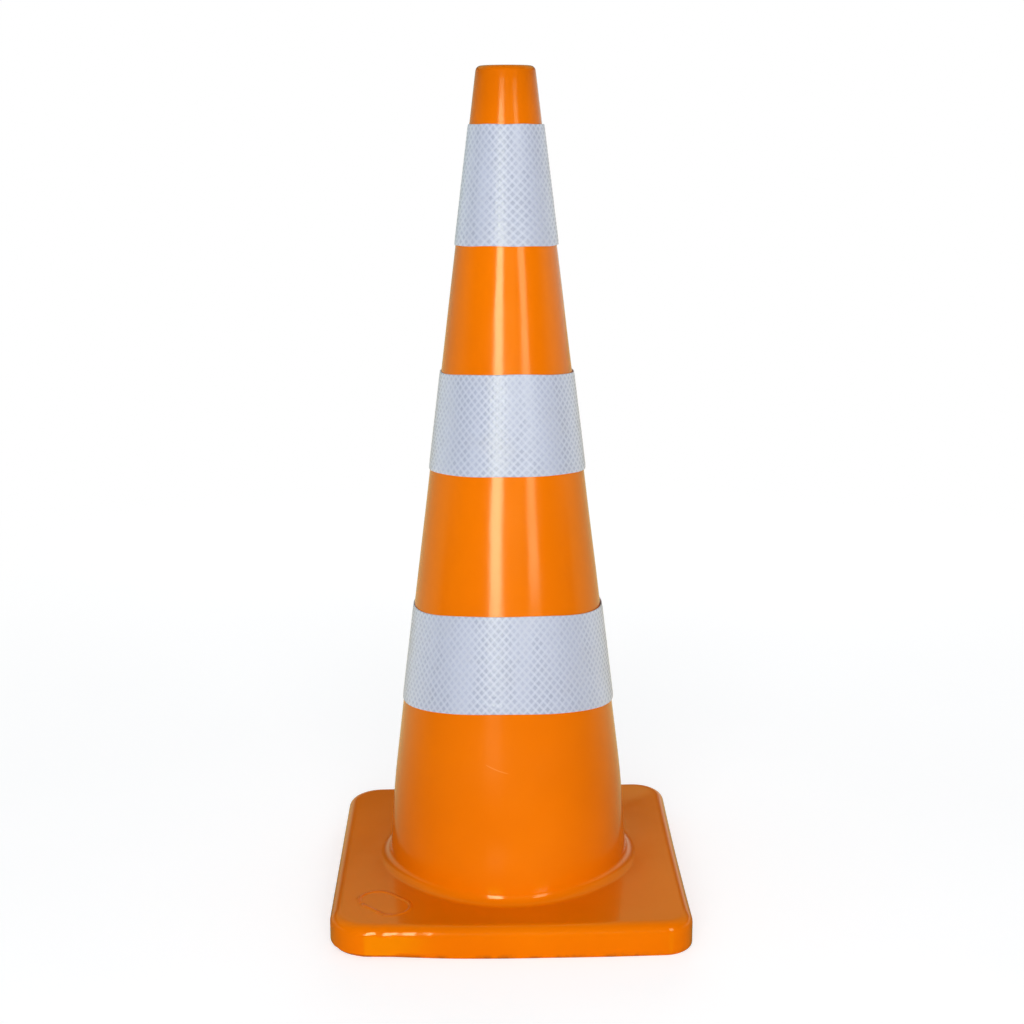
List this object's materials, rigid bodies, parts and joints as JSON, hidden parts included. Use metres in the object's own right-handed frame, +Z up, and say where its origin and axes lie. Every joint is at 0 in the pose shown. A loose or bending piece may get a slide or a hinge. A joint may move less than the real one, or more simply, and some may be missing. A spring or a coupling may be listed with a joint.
{
  "type": "traffic cone",
  "caption": "Tall orange traffic cone on a weighted square base, open at the tip for a lamp or bar, with slip-on reflective collars that lift off.",
  "frame": {"origin": "centre of the underside of the base, on the ground", "axes": "+Z up along the cone's axis; +X and +Y square to the sides of the base; the blank oval outline is at the -X -Y corner and the collars' laps face +Y"},
  "size_m": [0.38, 0.38, 0.9],
  "materials": {
    "orange_pvc": "glossy moulded flexible PVC, fluorescent orange",
    "black_ballast": "matt recycled PVC with a granular surface",
    "reflective_film": "clear-faced prismatic reflective film, embossed with a fine diamond lattice",
    "white_backing": "white vinyl sheet"
  },
  "bodies": {
    "root": {"cone_body": "orange_pvc", "base_ballast": "black_ballast"},
    "upper_collar": {"upper_collar_film": "reflective_film", "upper_collar_backing": "white_backing"},
    "middle_collar": {"middle_collar_film": "reflective_film", "middle_collar_backing": "white_backing"},
    "lower_collar": {"lower_collar_film": "reflective_film", "lower_collar_backing": "white_backing"}
  },
  "joints": [
    {"name": "upper_collar_lift", "type": "slide", "parent": "root", "child": "upper_collar", "axis": [0, 0, 1], "range_m": [0, 0.2]},
    {"name": "middle_collar_lift", "type": "slide", "parent": "root", "child": "middle_collar", "axis": [0, 0, 1], "range_m": [0, 0.44]},
    {"name": "lower_collar_lift", "type": "slide", "parent": "root", "child": "lower_collar", "axis": [0, 0, 1], "range_m": [0, 0.7]}
  ]
}
